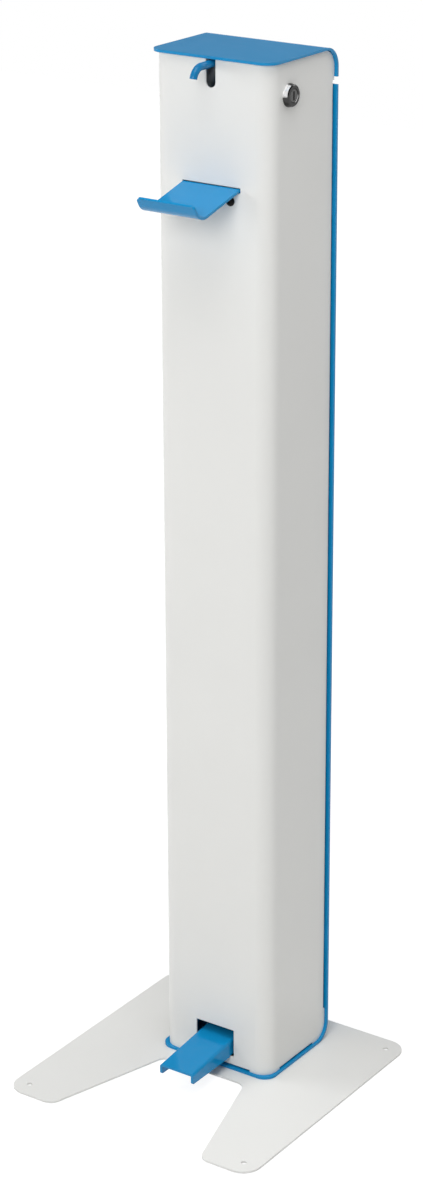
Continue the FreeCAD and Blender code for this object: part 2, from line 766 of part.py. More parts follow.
def build_lock():
    barrel = new_body("lock_barrel")
    head = S["lock_head"] / 2
    thread = S["lock_thread"] / 2
    plug = S["lock_plug"] / 2
    out = S["lock_head_out"]
    inward = S["lock_inward"]
    face_edge = S["lock_face_edge"]
    turn(barrel, [
        (plug + S["running_gap"], -inward),
        (thread, -inward),
        (thread, 0),
        (head, 0),
        (head, S["lock_flange"]),
        (S["lock_face"] / 2 + face_edge, out - face_edge),
        (S["lock_face"] / 2, out),
        (plug + S["running_gap"], out),
    ])
    place(barrel, SIDE, LOCK_Y, LOCK_Z, (0, 1, 0), 90)

    nut = new_body("lock_nut")
    extrude(nut, "Z", 0, S["lock_nut_tall"], [hexagon(S["lock_nut_flats"])])
    cut(nut, "Z", -PAST, S["lock_nut_tall"] + PAST, circles=[(0, 0, thread)])
    place(nut, INNER_SIDE - S["lock_nut_tall"], LOCK_Y, LOCK_Z, (0, 1, 0), 90)

    core = new_body("lock_plug")
    face = out - S["lock_plug_recess"]
    shoulder = -inward - S["lock_plug_recess"]
    stud_end = shoulder - S["cam_sheet"] - S["cam_nut_tall"]
    extrude(core, "X", shoulder, face, circles=[(0, 0, plug)])
    extrude(core, "X", stud_end, shoulder, circles=[(0, 0, S["cam_stud"] / 2)])
    key_half = S["keyway_wide"] / 2
    key_tall = S["keyway_tall"] / 2
    cut(core, "X", face - S["keyway_deep"], face + PAST, [rectangle(-key_half, key_half, -key_tall, key_tall)])
    bevel(core, S["lock_plug_edge"], [(face, 0, 0)])
    place(core, SIDE, LOCK_Y, LOCK_Z)

    cam = new_body("lock_cam")
    half = S["cam_wide"] / 2
    gauge = S["cam_sheet"]
    reach = S["cam_reach"]
    extrude(cam, "X", 0, gauge, [rectangle(-half, half, -half, reach)])
    bend(cam, half - 0.1, [(gauge / 2, -half, -half), (gauge / 2, half, -half)])
    bend(cam, S["cam_tip_corner"], [(gauge / 2, -half, reach), (gauge / 2, half, reach)])
    cut(cam, "X", -PAST, gauge + PAST, circles=[(0, 0, S["cam_stud"] / 2)])
    place(cam, SIDE + shoulder - gauge, LOCK_Y, LOCK_Z)

    cam_nut = new_body("cam_nut")
    extrude(cam_nut, "Z", 0, S["cam_nut_tall"], [hexagon(S["cam_nut_flats"])])
    cut(cam_nut, "Z", -PAST, S["cam_nut_tall"] + PAST, circles=[(0, 0, S["cam_stud"] / 2)])
    place(cam_nut, SIDE + stud_end, LOCK_Y, LOCK_Z, (0, 1, 0), 90)
    return barrel


def build_lid_keeper():
    """Angle under the lid whose window takes the lock's cam."""
    body = new_body("lid_keeper")
    gauge = S["bracket_sheet"]
    cam_middle = SIDE - S["lock_inward"] - S["lock_plug_recess"] - S["cam_sheet"] / 2
    low_x = cam_middle - S["keeper_wide"] / 2
    high_x = cam_middle + S["keeper_wide"] / 2
    near = LOCK_Y + S["keeper_from_lock"]
    window_low = LOCK_Z - S["cam_wide"] / 2 - S["keeper_play"]
    low = window_low - S["keeper_bar"]
    outline = [
        (near, low),
        (near + gauge, low),
        (near + gauge, LID_UNDER - gauge),
        (near + S["keeper_foot"], LID_UNDER - gauge),
        (near + S["keeper_foot"], LID_UNDER),
        (near, LID_UNDER),
    ]
    extrude(body, "X", low_x, high_x, [outline])
    bend(body, S["bracket_bend"] + gauge, [(cam_middle, near, LID_UNDER)])
    bend(body, S["bracket_bend"], [(cam_middle, near + gauge, LID_UNDER - gauge)])
    half = S["keeper_window_wide"] / 2
    window = rectangle(cam_middle - half, cam_middle + half, window_low, LOCK_Z + S["keeper_window_up"])
    cut(body, "Y", near - PAST, near + gauge + PAST, [window])
    return body


def build_drip_tray():
    """Bent strip through the cover's slot: flange behind the wall, sloping floor, trough and lip."""
    body = new_body("drip_tray")
    gauge = S["tray_sheet"]
    slope = S["tray_slope"]
    lip_angle = S["tray_lip_angle"]
    half = S["tray_width"] / 2
    flange_back = INNER_FRONT + gauge
    flange_low = TRAY_TOP - S["tray_flange"]
    wall_high_z = TRAY_TOP + (S["cover_sheet"] + gauge) * tangent(slope)
    low_y = FRONT - S["tray_reach"]
    low_z = TRAY_TOP - TRAY_DROP - S["tray_reach"] * tangent(slope)
    # offset of the upper corner of the trough from the lower one
    corner_offset = gauge / (1 + cosine(slope + lip_angle))
    high_y = low_y + corner_offset * (sine(lip_angle) - sine(slope))
    high_z = low_z + corner_offset * (cosine(lip_angle) + cosine(slope))
    lip_y = low_y - S["tray_lip"] * cosine(lip_angle)
    lip_z = low_z + S["tray_lip"] * sine(lip_angle)
    lip_back_y = lip_y + gauge * sine(lip_angle)
    lip_back_z = lip_z + gauge * cosine(lip_angle)
    outline = [
        (flange_back, flange_low),
        (flange_back, wall_high_z),
        (high_y, high_z),
        (lip_back_y, lip_back_z),
        (lip_y, lip_z),
        (low_y, low_z),
        (INNER_FRONT, TRAY_WALL_LOW),
        (INNER_FRONT, flange_low),
    ]
    extrude(body, "X", -half, half, [outline])
    bend(body, S["tray_trough_bend"], [(0, low_y, low_z)])
    bend(body, S["tray_trough_bend"] - gauge, [(0, high_y, high_z)])
    bend(body, S["tray_wall_bend"], [(0, flange_back, wall_high_z)])
    bend(body, S["tray_wall_bend"] - gauge, [(0, INNER_FRONT, TRAY_WALL_LOW)])
    middle_y = (lip_y + lip_back_y) / 2
    middle_z = (lip_z + lip_back_z) / 2
    bend(body, S["tray_lip_corner"], [(-half, middle_y, middle_z), (half, middle_y, middle_z)])
    middle_y = INNER_FRONT + gauge / 2
    bend(body, S["tray_flange_corner"], [(-half, middle_y, flange_low), (half, middle_y, flange_low)])
    holes = [(x, z, CLEAR_RADIUS) for x, z in tray_screw_spots()]
    cut(body, "Y", INNER_FRONT - PAST, flange_back + PAST, circles=holes)
    return body


def build_fasteners():
    button = new_body("button_screw_pattern", keep=False)
    radius = S["button_head"] / 2
    tall = S["button_head_tall"]
    shank = S["thread"] / 2
    turn(button, [
        (0, -tall),
        (radius * 0.55, -tall),
        (radius, -tall * 0.3),
        (radius, 0),
        (shank, 0),
        (shank, S["button_length"]),
        (0, S["button_length"]),
    ])
    cut(button, "Z", -tall - PAST, -tall * 0.4, [hexagon(S["button_socket"])])
    spots = []
    for x, z in tray_screw_spots():
        spots.append(((x, FRONT, z), (1, 0, 0), -90))
    for x, z in back_screw_spots():
        spots.append(((x, BACK, z), (1, 0, 0), 90))
    spread("button_screws", button, spots)

    sunk = new_body("sunk_screw_pattern", keep=False)
    sunk_radius = S["sunk_head"] / 2
    cone = sunk_radius - shank
    turn(sunk, [
        (0, 0),
        (sunk_radius - S["thread_gap"], 0),
        (shank, cone),
        (shank, S["sunk_length"]),
        (0, S["sunk_length"]),
    ])
    cut(sunk, "Z", -PAST, cone * 0.7, [hexagon(S["button_socket"])])
    spread("base_screws", sunk, [((x, y, 0), (0, 0, 1), 0) for x, y in frame_screw_spots()])

    nut = new_body("nut_pattern", keep=False)
    extrude(nut, "Z", 0, S["nut_tall"], [hexagon(S["nut_flats"])])
    cut(nut, "Z", -PAST, S["nut_tall"] + PAST, circles=[(0, 0, TAP_RADIUS)])
    spots = []
    for index, (x, y) in enumerate(frame_screw_spots()):
        seat = FOOT_TOP + S["pedal_bracket_sheet"] if index < 2 else FOOT_TOP
        spots.append(((x, y, seat), (0, 0, 1), 0))
    for x, z in tray_screw_spots():
        spots.append(((x, INNER_FRONT + S["tray_sheet"], z), (1, 0, 0), -90))
    return spread("hex_nuts", nut, spots)


def build_bottle_shelf():
    body = new_body("bottle_shelf")
    gauge = S["bracket_sheet"]
    half = S["shelf_width"] / 2
    top = SHELF_TOP
    front = INNER_FRONT + S["shelf_front_gap"]
    outline = [
        (front, top + S["shelf_lip"]),
        (front, top - gauge),
        (BACK_INNER - gauge, top - gauge),
        (BACK_INNER - gauge, top - S["shelf_flange"]),
        (BACK_INNER, top - S["shelf_flange"]),
        (BACK_INNER, top),
        (front + gauge, top),
        (front + gauge, top + S["shelf_lip"]),
    ]
    extrude(body, "X", -half, half, [outline])
    bend(body, S["shelf_bend"], [(0, front, top - gauge), (0, BACK_INNER, top)])
    inner = S["shelf_bend"] - gauge
    bend(body, inner, [(0, front + gauge, top), (0, BACK_INNER - gauge, top - gauge)])
    cut(body, "Z", top - gauge - PAST, top + PAST, circles=[(0, ROD_Y, S["rod_cap"] / 2 + PAST)])
    holes = [(sign * S["shelf_screw_spread"] / 2, SHELF_SCREW_Z, TAP_RADIUS) for sign in (-1, 1)]
    cut(body, "Y", BACK_INNER - gauge - PAST, BACK_INNER + PAST, circles=holes)
    return body


def build_bottle():
    body = new_body("bottle")
    half_x = S["bottle_width"] / 2
    half_y = S["bottle_depth"] / 2
    tall = S["bottle_body"]
    neck_top = tall + S["bottle_neck_tall"]
    extrude(body, "Z", 0, tall, [rectangle(-half_x, half_x, -half_y, half_y)])
    corners = [(x, y, tall / 2) for x in (-half_x, half_x) for y in (-half_y, half_y)]
    bend(body, S["bottle_corner"], corners)
    bend(body, S["bottle_shoulder"], [(half_x, 0, tall)])
    bend(body, S["bottle_base_edge"], [(half_x, 0, 0)])
    extrude(body, "Z", tall, neck_top, circles=[(0, 0, S["bottle_neck"] / 2)])
    bore = S["barrel"] / 2 + S["barrel_bore_gap"] / 2
    cut(body, "Z", neck_top - S["bottle_bore_deep"], neck_top + PAST, circles=[(0, 0, bore)])
    place(body, 0, PUMP_Y, SHELF_TOP)
    return body


def build_pump():
    neck_top = SHELF_TOP + S["bottle_body"] + S["bottle_neck_tall"]
    flange_tall = S["barrel_flange_tall"]
    barrel = new_body("pump_barrel")
    stem_bore = S["stem"] / 2 + S["running_gap"]
    turn(barrel, [
        (0, -S["barrel_long"]),
        (S["barrel"] / 2, -S["barrel_long"]),
        (S["barrel"] / 2, 0),
        (S["barrel_flange"] / 2, 0),
        (S["barrel_flange"] / 2, flange_tall),
        (0, flange_tall),
    ])
    cut(barrel, "Z", S["barrel_floor"] - S["barrel_long"], flange_tall + PAST, circles=[(0, 0, stem_bore)])
    place(barrel, 0, PUMP_Y, neck_top)

    collar = new_body("pump_collar")
    roof_low = flange_tall
    roof_high = roof_low + S["collar_roof"]
    outer = S["collar"] / 2
    inner = S["bottle_neck"] / 2 + S["barrel_bore_gap"] / 2
    turn(collar, [
        (S["collar_hole"] / 2, roof_low),
        (inner, roof_low),
        (inner, -S["collar_skirt"]),
        (outer, -S["collar_skirt"]),
        (outer, roof_high),
        (S["collar_hole"] / 2, roof_high),
    ])
    bend(collar, S["collar_edge"], [(0, 0, roof_high)])
    place(collar, 0, PUMP_Y, neck_top)
    return barrel


def build_pump_head():
    """Moving head: pushed down by the rocker's two noses on its skirt."""
    nose_low = ROCKER_Z + S["rocker_arm"] * TILT_SINE - S["rocker_nose"]
    skirt_top = nose_low - S["touch_gap"]
    skirt = S["skirt"] / 2
    boss = S["boss"] / 2
    head = new_body("pump_actuator")
    extrude(head, "Z", -S["skirt_tall"], 0, circles=[(0, 0, skirt)])
    extrude(head, "Z", 0, S["boss_tall"], circles=[(0, 0, boss)])
    bend(head, S["boss_edge"], [(0, 0, S["boss_tall"])])
    stem_top = S["stem_in_boss"] - S["skirt_tall"]
    cut(head, "Z", -S["skirt_tall"] - PAST, stem_top, circles=[(0, 0, S["stem"] / 2)])
    tube_z = NOZZLE_Z - skirt_top
    tube = S["nozzle"] / 2
    tube_back = S["nozzle_in_boss"] - boss
    cut(head, "Y", -boss - PAST, tube_back, circles=[(0, tube_z, tube)])
    place(head, 0, PUMP_Y, skirt_top)

    stem = new_body("pump_stem")
    extrude(stem, "Z", stem_top - S["stem_long"], stem_top, circles=[(0, 0, S["stem"] / 2)])
    place(stem, 0, PUMP_Y, skirt_top)

    nozzle = new_body("nozzle_tube")
    bore = S["nozzle_bore"] / 2
    bend_y = FRONT - S["nozzle_out"]
    tube_end = PUMP_Y + tube_back
    extrude(nozzle, "Y", bend_y, tube_end, circles=[(0, NOZZLE_Z, tube)])
    curl(nozzle, "PartDesign::Revolution", bend_y, tube)
    cut(nozzle, "Y", bend_y, tube_end + PAST, circles=[(0, NOZZLE_Z, bore)])
    curl(nozzle, "PartDesign::Groove", bend_y, bore)
    return head


def curl(body, kind, level, radius):
    """Turns a circle through the nozzle's bend about a level axis below the tube."""
    sketch = new_sketch(body, "Y", level, circles=[(0, NOZZLE_Z, radius)])
    axis_z = NOZZLE_Z - S["nozzle_bend"]
    start = FreeCAD.Vector(-10, axis_z.value, 0)
    end = FreeCAD.Vector(10, axis_z.value, 0)
    line = sketch.addGeometry(Part.LineSegment(start, end), True)
    pin_point(sketch, line, 1, size(-10), axis_z)
    pin_point(sketch, line, 2, size(10), axis_z)
    feature = body.newObject(kind, "Curl")
    feature.Profile = sketch
    feature.ReferenceAxis = (sketch, ["Axis0"])
    feature.Angle = S["nozzle_turn"].value
    feature.setExpression("Angle", S["nozzle_turn"].text)
    doc.recompute()
    return feature


def build_rocker():
    body = new_body("rocker")
    gauge = S["rocker_sheet"]
    outer = S["rocker_outer"] / 2
    inner = outer - gauge
    arm = S["rocker_arm"]
    nose = S["rocker_nose"]
    hub = S["rocker_hub"]
    hub_foot = S["rocker_hub_foot"]
    web_top = S["rocker_web_up"] + gauge
    # behind each nose the arm rises, so that it stays off the pump head's skirt when tilted
    relief_start = nose * tangent(S["rocker_relief"] / 2) - arm
    relief_end = -S["rocker_relief_end"]
    relief_z = (relief_end - relief_start) * tangent(S["rocker_relief"]) - nose
    outline = [
        (-arm - nose, -nose),
        (relief_start, -nose),
        (relief_end, relief_z),
        (-hub, -hub),
        (hub, -hub),
        (hub_foot, -nose),
        (S["rocker_web_end"], -nose),
        (S["rocker_web_end"], web_top),
        (hub_foot, web_top),
        (hub, hub),
        (-hub, hub),
        (nose / 2 - arm, S["rocker_arm_rise"]),
        (-arm - nose, nose),
    ]
    extrude(body, "X", -outer, outer, [outline])
    bend(body, nose - 0.1, [(0, -arm - nose, -nose), (0, -arm - nose, nose)])
    front = -arm - nose - PAST
    web_start = S["rocker_web_start"]
    cut(body, "Z", -hub - PAST, hub + PAST, [rectangle(-inner, inner, front, web_start)])
    below_web = rectangle(-inner, inner, web_start - PAST, S["rocker_web_end"] + PAST)
    cut(body, "Z", -hub - PAST, S["rocker_web_up"], [below_web])
    cut(body, "X", -outer - PAST, outer + PAST, circles=[(0, 0, AXLE_RADIUS + S["running_gap"])])
    place(body, 0, ROCKER_Y, ROCKER_Z, (1, 0, 0), -ROCKER_TILT)
    return body


def build_rocker_bracket():
    body = new_body("rocker_bracket")
    gauge = S["bracket_sheet"]
    inner = S["rocker_outer"] / 2 + S["rocker_side_gap"]
    outer = inner + gauge
    low = ROCKER_FOOT_LOW
    high = ROCKER_FOOT_HIGH
    hub = S["rocker_hub"]
    ear_front = PUMP_Y + S["bottle_depth"] / 2 + S["rocker_ear_behind_bottle"]
    ear_low = SHELF_TOP + S["bottle_body"] + S["rocker_ear_above_bottle"]
    outline = [
        (BACK_INNER, low),
        (BACK_INNER, high),
        (BACK_INNER - S["rocker_ear_in"], high + S["rocker_ear_rise"]),
        (ROCKER_Y + hub, ROCKER_Z + hub),
        (ROCKER_Y - hub, ROCKER_Z + hub),
        (ROCKER_Y - hub, ROCKER_Z - hub),
        (ear_front, ear_low),
        (ear_front, low),
    ]
    extrude(body, "X", -outer, outer, [outline])
    bend(body, hub - 0.5, [(0, ROCKER_Y - hub, ROCKER_Z + hub)])
    bend(body, hub - 0.5, [(0, ROCKER_Y + hub, ROCKER_Z + hub)])
    inside = rectangle(-inner, inner, ROCKER_Y - hub - PAST, BACK_INNER - gauge)
    cut(body, "Z", low - PAST, ROCKER_Z + hub + PAST, [inside])
    notch = rectangle(-inner, inner, high, ROCKER_Z + hub + PAST)
    cut(body, "Y", BACK_INNER - gauge - PAST, BACK_INNER + PAST, [notch])
    cut(body, "X", -outer - PAST, outer + PAST, circles=[(ROCKER_Y, ROCKER_Z, AXLE_RADIUS)])
    screw_x = S["rocker_bracket_screws"] / 2
    middle = (low + high) / 2
    holes = [(-screw_x, middle, TAP_RADIUS), (screw_x, middle, TAP_RADIUS)]
    cut(body, "Y", BACK_INNER - gauge - PAST, BACK_INNER + PAST, circles=holes)

    axle = new_body("rocker_axle")
    half = outer + S["rocker_axle_out"]
    extrude(axle, "Z", -half, half, circles=[(0, 0, AXLE_RADIUS)])
    bevel(axle, S["pin_bevel"], [(0, 0, -half), (0, 0, half)])
    place(axle, 0, ROCKER_Y, ROCKER_Z, (0, 1, 0), 90)
    return outer


def build_axle_clips(rocker_side, pedal_side):
    clip = new_body("axle_clip_pattern", keep=False)
    thick = S["clip_thick"]
    extrude(clip, "Z", 0, thick, circles=[(0, 0, S["clip_outer"] / 2)])
    cut(clip, "Z", -PAST, thick + PAST, circles=[(0, 0, AXLE_RADIUS)])
    mouth = S["clip_mouth"] / 2
    cut(clip, "Z", -PAST, thick + PAST, [rectangle(-mouth, mouth, 0, S["clip_outer"])])
    spots = []
    for side, y, z in ((rocker_side, ROCKER_Y, ROCKER_Z), (pedal_side, PEDAL_Y, PEDAL_Z)):
        spots.append(((side, y, z), (0, 1, 0), 90))
        spots.append(((-side, y, z), (0, 1, 0), -90))
    return spread("axle_clips", clip, spots)


def build_push_rod():
    """Rod with two domed caps: the pedal lifts the lower one, the upper one lifts the rocker."""
    dome = S["rod_cap"] / 2
    reach = dome + S["touch_gap"]
    low_centre = ROD_FOOT
    high_centre = ROCKER_Z - HALF_LIFT - (reach - S["rocker_web_up"]) / TILT_COSINE
    rod = new_body("push_rod")
    low = low_centre + S["rod_cap_floor"]
    high = high_centre - S["rod_cap_floor"]
    extrude(rod, "Z", low, high, circles=[(0, 0, S["rod"] / 2)])
    bevel(rod, S["pin_bevel"], [(0, 0, low), (0, 0, high)])
    place(rod, 0, ROD_Y, 0)

    cap = new_body("rod_cap_pattern", keep=False)
    tall = S["rod_cap_tall"]
    extrude(cap, "Z", -dome, tall, circles=[(0, 0, dome)])
    bend(cap, dome - 0.05, [(0, 0, -dome)])
    cut(cap, "Z", S["rod_cap_floor"], tall + PAST, circles=[(0, 0, S["rod"] / 2)])
    spots = [((0, ROD_Y, low_centre), (0, 0, 1), 0), ((0, ROD_Y, high_centre), (1, 0, 0), 180)]
    return spread("rod_caps", cap, spots)


def build_rod_guides():
    guide = new_body("rod_guide_pattern", keep=False)
    gauge = S["bracket_sheet"]
    half = S["guide_wide"] / 2
    reach = S["guide_reach"]
    outline = [
        (0, 0),
        (0, S["guide_tall"]),
        (-gauge, S["guide_tall"]),
        (-gauge, gauge),
        (-reach, gauge),
        (-reach, 0),
    ]
    extrude(guide, "X", -half, half, [outline])
    bend(guide, S["bracket_bend"] + gauge, [(0, 0, 0)])
    bend(guide, S["bracket_bend"], [(0, -gauge, gauge)])
    rod_back = ROD_Y - BACK_INNER
    bend(guide, S["guide_corner"], [(-half, -reach, gauge / 2), (half, -reach, gauge / 2)])
    cut(guide, "Z", -PAST, gauge + PAST, circles=[(0, rod_back, S["bush_outer"] / 2)])
    spread("rod_guides", guide, [((0, BACK_INNER, level), (0, 0, 1), 0) for level in GUIDE_LEVELS])

    bush = new_body("guide_bush_pattern", keep=False)
    bore = S["rod"] / 2 + S["running_gap"]
    outer = S["bush_outer"] / 2
    flange = S["bush_flange"] / 2
    turn(bush, [
        (bore, gauge - S["bush_long"]),
        (outer, gauge - S["bush_long"]),
        (outer, gauge),
        (flange, gauge),
        (flange, gauge + S["bush_flange_tall"]),
        (bore, gauge + S["bush_flange_tall"]),
    ])
    return spread("guide_bushes", bush, [((0, ROD_Y, level), (0, 0, 1), 0) for level in GUIDE_LEVELS])


def build_pedal():
    """Channel with its flanges down: tread outside, lever arm inside the column."""
    body = new_body("pedal")
    half = S["pedal_width"] / 2
    gauge = S["pedal_sheet"]
    tip = FRONT - S["pedal_out"]
    end = FRONT + S["pedal_inner_end"]
    arm_low = FOOT_TOP + S["pedal_arm_above_foot"]
    low = FOOT_TOP + S["pedal_tread_flange_above_foot"]
    step = FRONT - S["pedal_tread_flange_gap"]
    outline = [
        (tip, pedal_top_at(tip)),
        (tip, low),
        (step, low),
        (step, arm_low),
        (end, arm_low),
        (end, pedal_top_at(end)),
    ]
    extrude(body, "X", -half, half, [outline])
    middle_y = (tip + end) / 2
    middle_z = pedal_top_at(middle_y)
    bend(body, S["pedal_tip_corner"], [(0, tip, low)])
    bend(body, S["pedal_tip_corner"], [(0, end, arm_low)])
    bend(body, S["pedal_bend"], [(-half, middle_y, middle_z), (half, middle_y, middle_z)])
    inner = half - gauge
    drop = gauge / cosine(S["pedal_slope"])
    start = tip - PAST
    finish = end + PAST
    hollow = [
        (start, pedal_top_at(start) - drop),
        (start, low - PAST),
        (finish, low - PAST),
        (finish, pedal_top_at(finish) - drop),
    ]
    cut(body, "X", -inner, inner, [hollow])
    inner_bend = S["pedal_bend"] - gauge
    bend(body, inner_bend, [(-inner, middle_y, middle_z - drop), (inner, middle_y, middle_z - drop)])
    cut(body, "X", -half - PAST, half + PAST, circles=[(PEDAL_Y, PEDAL_Z, S["pedal_bush"] / 2)])

    bush = new_body("pedal_bush_pattern", keep=False)
    bore = AXLE_RADIUS + S["running_gap"]
    thick = S["pedal_bush_flange_thick"]
    turn(bush, [
        (bore, -gauge),
        (S["pedal_bush"] / 2, -gauge),
        (S["pedal_bush"] / 2, 0),
        (S["pedal_bush_flange"] / 2, 0),
        (S["pedal_bush_flange"] / 2, thick),
        (bore, thick),
    ])
    spots = [((half, PEDAL_Y, PEDAL_Z), (0, 1, 0), 90), ((-half, PEDAL_Y, PEDAL_Z), (0, 1, 0), -90)]
    return spread("pedal_bushes", bush, spots)


def build_pedal_bracket():
    """Channel on the frame's foot whose two ears carry the pedal's axle."""
    body = new_body("pedal_bracket")
    gauge = S["pedal_bracket_sheet"]
    inner = S["pedal_width"] / 2 + S["pedal_bush_flange_thick"] + S["pedal_side_gap"]
    outer = inner + gauge
    front = FRONT + S["pedal_bracket_front"]
    back = FRONT + S["pedal_bracket_back"]
    top = PEDAL_Z + S["pedal_bracket_ear"]
    shoulder = PEDAL_Y + S["pedal_bracket_ear"]
    outline = [
        (front, FOOT_TOP),
        (back, FOOT_TOP),
        (back, FOOT_TOP + S["pedal_bracket_shoulder"]),
        (shoulder, top),
        (front, top),
    ]
    extrude(body, "X", -outer, outer, [outline])
    bend(body, S["pedal_bracket_ear"] - 0.5, [(0, front, top)])
    bend(body, S["pedal_bracket_ear"] - 0.5, [(0, shoulder, top)])
    floor = FOOT_TOP + gauge
    cut(body, "Y", front - PAST, back + PAST, [rectangle(-inner, inner, floor, top + PAST)])
    cut(body, "X", -outer - PAST, outer + PAST, circles=[(PEDAL_Y, PEDAL_Z, AXLE_RADIUS)])
    holes = [(x, y, CLEAR_RADIUS) for x, y in frame_screw_spots()[:2]]
    cut(body, "Z", FOOT_TOP - PAST, floor + PAST, circles=holes)

    axle = new_body("pedal_axle")
    half = outer + S["pedal_axle_out"]
    extrude(axle, "Z", -half, half, circles=[(0, 0, AXLE_RADIUS)])
    bevel(axle, S["pin_bevel"], [(0, 0, -half), (0, 0, half)])
    place(axle, 0, PEDAL_Y, PEDAL_Z, (0, 1, 0), 90)

    buffer = new_body("pedal_buffer_pattern", keep=False)
    tall = S["pedal_arm_above_foot"] - S["touch_gap"]
    extrude(buffer, "Z", 0, tall, circles=[(0, 0, S["buffer"] / 2)])
    bend(buffer, S["buffer_edge"], [(0, 0, tall)])
    under_flange = (S["pedal_width"] - S["pedal_sheet"]) / 2
    level = FRONT + S["buffer_from_front"]
    spots = [((sign * under_flange, level, FOOT_TOP), (0, 0, 1), 0) for sign in (-1, 1)]
    spread("pedal_buffers", buffer, spots)
    return outer


build_base_plate()
build_back_frame()
build_cover()
build_corner_brackets()
build_lid()
build_hinge()
build_lock()
build_lid_keeper()
build_drip_tray()
build_fasteners()
build_bottle_shelf()
build_bottle()
build_pump()
build_pump_head()
build_rocker()
rocker_side = build_rocker_bracket()
build_push_rod()
build_rod_guides()
build_pedal()
pedal_side = build_pedal_bracket()
build_axle_clips(rocker_side, pedal_side)

doc.recompute()
os.makedirs("parts", exist_ok=True)
for item in doc.Objects:
    if "Invalid" in item.State or "Error" in item.State:
        raise RuntimeError("%s is not sound" % item.Label)
for node in nodes:
    if node.Shape.isNull() or not node.Shape.isValid():
        raise RuntimeError("%s has no valid shape" % node.Label)
    node.Shape.exportStep("parts/%s.step" % node.Label)
    print(node.Label, len(node.Shape.Solids), round(node.Shape.Volume))
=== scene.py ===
import bpy
import math
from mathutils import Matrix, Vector

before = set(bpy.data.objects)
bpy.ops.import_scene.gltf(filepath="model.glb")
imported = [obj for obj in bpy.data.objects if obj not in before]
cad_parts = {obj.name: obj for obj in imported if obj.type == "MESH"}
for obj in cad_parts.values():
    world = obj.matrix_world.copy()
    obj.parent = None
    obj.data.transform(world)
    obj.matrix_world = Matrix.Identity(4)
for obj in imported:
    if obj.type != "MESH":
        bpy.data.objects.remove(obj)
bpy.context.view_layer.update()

# Looks of a pedal-operated hand sanitizer stand: satin powder coat on bent sheet, a chromed lock,
# dark screws, and the plastic bottle and pump inside the column. Metres, Z up, front towards -Y.

# Linear colours of the finishes.
WHITE_COAT = (0.82, 0.82, 0.80)
BLUE_COAT = (0.006, 0.255, 0.550)
BLUE_PLASTIC = (0.004, 0.175, 0.400)
# Lock collar chrome: a painted highlight colour and a painted shade colour, blended by the way the
# surface faces.
CHROME_PAINTED_HIGHLIGHT = (0.90, 0.90, 0.90)
CHROME_PAINTED_SHADE = (0.05, 0.05, 0.05)
# The lock face is kept far darker than bare steel, a painted dark reflection.
LOCK_FACE_PAINTED_SHADE = (0.10, 0.10, 0.10)
ZINC = (0.50, 0.51, 0.53)
BLACK_OXIDE = (0.006, 0.006, 0.0065)
BOTTLE_WHITE = (0.78, 0.80, 0.80)
PUMP_WHITE = (0.80, 0.81, 0.80)
NYLON_BLACK = (0.020, 0.020, 0.021)
RUBBER_BLACK = (0.014, 0.014, 0.014)

# Radius that the powder coat leaves on a cut edge, and how many rays look for such an edge.
COAT_EDGE = 0.0005
EDGE_RAYS = 6

# Height of every finish's bumps at full strength.
BUMP_HEIGHT = 0.0001

# Waves a metre: drifts of tone and gloss in a coat, its orange peel, drifts in a plastic, turned metal.
COAT_DRIFT = 9.0
COAT_SATIN = 60.0
ORANGE_PEEL = 850.0
PLASTIC_DRIFT = 30.0
COLLAR_GRAIN = 500.0
GRAIN_DETAIL = 5.0

# Painted highlight on the polished collar where its surface faces this way, painted shade elsewhere,
# between the two cosines.
COLLAR_PAINTED_HIGHLIGHT_WAY = (0.0, -0.80, 0.60)
COLLAR_PAINTED_SHADE_COSINE = 0.74
COLLAR_PAINTED_HIGHLIGHT_COSINE = 0.86
COLLAR_PAINTED_HIGHLIGHT_METALLIC = 0.3

# Depth that light reaches under the skin of a pale plastic.
SKIN_DEPTH = 0.002

# Nodes that carry each finish.
FINISHES = {
    "powder_white": ("base_plate", "cover"),
    "powder_blue": ("back_frame", "lid", "drip_tray", "pedal", "hinge_frame_leaf", "hinge_lid_leaf"),
    "nozzle_blue": ("nozzle_tube",),
    "lock_chrome": ("lock_barrel",),
    "lock_face": ("lock_plug",),
    "black_steel": ("button_screws", "axle_clips"),
    "bottle_plastic": ("bottle",),
    "pump_plastic": ("pump_barrel", "pump_collar", "pump_actuator", "pump_stem"),
    "nylon_black": ("guide_bushes", "pedal_bushes", "rod_caps"),
    "buffer_rubber": ("pedal_buffers",),
}


def new_material(name):
    material = bpy.data.materials.new(name)
    material.use_nodes = True
    tree = material.node_tree
    shader = tree.nodes["Principled BSDF"]
    return material, tree, shader


def object_points(tree):
    """Coordinates in metres that stay with the piece."""
    return tree.nodes.new("ShaderNodeTexCoord").outputs["Object"]


def noise(tree, scale, detail=3.0):
    """Noise of so many waves a metre."""
    node = tree.nodes.new("ShaderNodeTexNoise")
    node.inputs["Scale"].default_value = scale
    node.inputs["Detail"].default_value = detail
    node.inputs["Roughness"].default_value = 0.5
    tree.links.new(object_points(tree), node.inputs["Vector"])
    return node.outputs["Fac"]


def spread(tree, value, low, high):
    """Maps the middle of a noise's range to low..high."""
    node = tree.nodes.new("ShaderNodeMapRange")
    node.inputs["From Min"].default_value = 0.3
    node.inputs["From Max"].default_value = 0.7
    node.inputs["To Min"].default_value = low
    node.inputs["To Max"].default_value = high
    tree.links.new(value, node.inputs["Value"])
    return node.outputs["Result"]


def shade(colour, factor):
    return (colour[0] * factor, colour[1] * factor, colour[2] * factor, 1.0)


def tint(tree, value, colour, low, high):
    """Colour that runs from low to high times itself with the value."""
    node = tree.nodes.new("ShaderNodeMix")
    node.data_type = "RGBA"
    node.inputs["A"].default_value = shade(colour, low)
    node.inputs["B"].default_value = shade(colour, high)
    tree.links.new(value, node.inputs["Factor"])
    return node.outputs["Result"]


